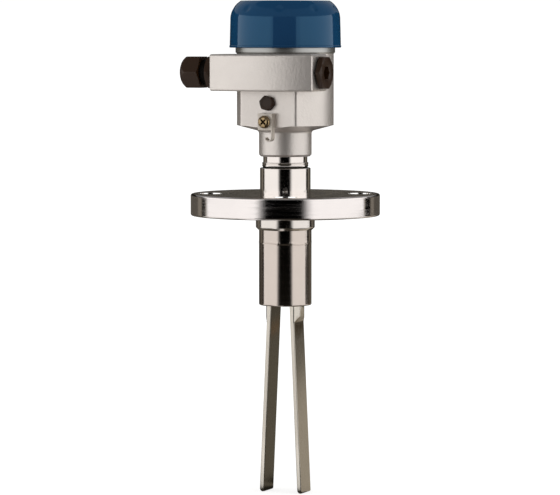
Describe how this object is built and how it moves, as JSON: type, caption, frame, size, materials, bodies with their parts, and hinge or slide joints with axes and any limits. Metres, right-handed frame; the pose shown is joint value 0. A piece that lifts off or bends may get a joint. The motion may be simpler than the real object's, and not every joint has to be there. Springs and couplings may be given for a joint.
{
  "type": "vibrating fork level switch",
  "caption": "Flange-mounted vibrating fork level switch: screw-lid housing with cable-entry arm, turned stem, bolted flange and a tube ending in a fork of splayed flat tines.",
  "frame": {"origin": "centre of the bolt circle on the flange's underside, 1.6 mm above the sealing face", "axes": "+Z along the probe's axis up to the lid, +X along the cable entries towards the blanking plug, -Y towards the flat front with the earth terminal"},
  "size_m": [0.1524, 0.1524, 0.3964],
  "materials": {
    "housing_coating": "light warm grey powder coat on die-cast aluminium",
    "lid_coating": "glossy dark blue coat on die-cast aluminium",
    "process_steel": "turned and polished stainless steel",
    "plain_steel": "plated steel",
    "brass": "plain brass",
    "black_nylon": "moulded nylon",
    "black_rubber": "sealing rubber",
    "insert_plastic": "moulded dark grey plastic",
    "terminal_plastic": "moulded light grey plastic",
    "slider_plastic": "moulded white plastic",
    "light_lens": "tinted clear plastic",
    "board_laminate": "coated laminate",
    "piezo_ceramic": "fired ceramic",
    "insulator_ceramic": "fired ceramic",
    "wire_jacket": "wire insulation"
  },
  "bodies": {
    "probe": {"housing": "housing_coating", "earth_screw": "brass", "contact_plates": "brass", "gland_body": "black_nylon", "entry_plug": "black_nylon", "side_plug": "black_nylon", "module_cup": "insert_plastic", "module_cover": "insert_plastic", "mode_switch": "insert_plastic", "terminal_block": "terminal_plastic", "status_light": "light_lens", "circuit_board": "board_laminate", "piezo_discs": "piezo_ceramic", "insulating_discs": "insulator_ceramic", "lead_wires": "wire_jacket", "upper_tube": "process_steel", "flange": "process_steel", "weld_collar": "process_steel", "fork_tube": "process_steel", "diaphragm": "process_steel", "neck_nut": "plain_steel", "drive_bolt": "plain_steel", "pressure_ring": "plain_steel", "clamp_nut": "plain_steel", "module_screws": "plain_steel", "terminal_screws": "plain_steel", "earth_clamp": "plain_steel", "earth_washer": "plain_steel", "gland_washer": "black_rubber", "plug_washer": "black_rubber", "neck_seals": "black_rubber"},
    "lid_seal": {"lid_seal": "black_rubber"},
    "lid": {"lid": "lid_coating"},
    "gland_seal": {"gland_seal": "black_rubber"},
    "gland_nut": {"gland_nut": "black_nylon"},
    "mode_slider": {"mode_slider": "slider_plastic"},
    "tine_left": {"tine_left": "process_steel"},
    "tine_right": {"tine_right": "process_steel"}
  },
  "joints": [
    {"name": "lid_lift", "type": "slide", "parent": "probe", "child": "lid_seal", "axis": [0, 0, 1], "range_m": [0, 0.015]},
    {"name": "lid_turn", "type": "hinge", "parent": "lid_seal", "child": "lid", "pos_m": [0, 0, 0.1484], "axis": [0, 0, 1], "range_deg": [0, 1800]},
    {"name": "gland_nut_travel", "type": "slide", "parent": "probe", "child": "gland_seal", "axis": [-1, 0, 0], "range_m": [-0.003, 0.003]},
    {"name": "gland_nut_turn", "type": "hinge", "parent": "gland_seal", "child": "gland_nut", "pos_m": [-0.066, -0.032, 0.1151], "axis": [-1, 0, 0], "range_deg": [-720, 720]},
    {"name": "mode_slide", "type": "slide", "parent": "probe", "child": "mode_slider", "axis": [1, 0, 0], "range_m": [0, 0.003]},
    {"name": "tine_left_swing", "type": "hinge", "parent": "probe", "child": "tine_left", "pos_m": [-0.012, 0, -0.0723], "axis": [0, 1, 0], "range_deg": [-0.15, 0.15], "stiffness_Nm_per_rad": 20},
    {"name": "tine_right_swing", "type": "hinge", "parent": "probe", "child": "tine_right", "pos_m": [0.012, 0, -0.0723], "axis": [0, 1, 0], "range_deg": [-0.15, 0.15], "stiffness_Nm_per_rad": 20}
  ],
  "couplings": [
    {"joint": "lid_lift", "follows": "lid_turn", "m_per_rad": 0.00047746},
    {"joint": "gland_nut_travel", "follows": "gland_nut_turn", "m_per_rad": 0.00023873},
    {"joint": "tine_right_swing", "follows": "tine_left_swing", "ratio": -1}
  ]
}
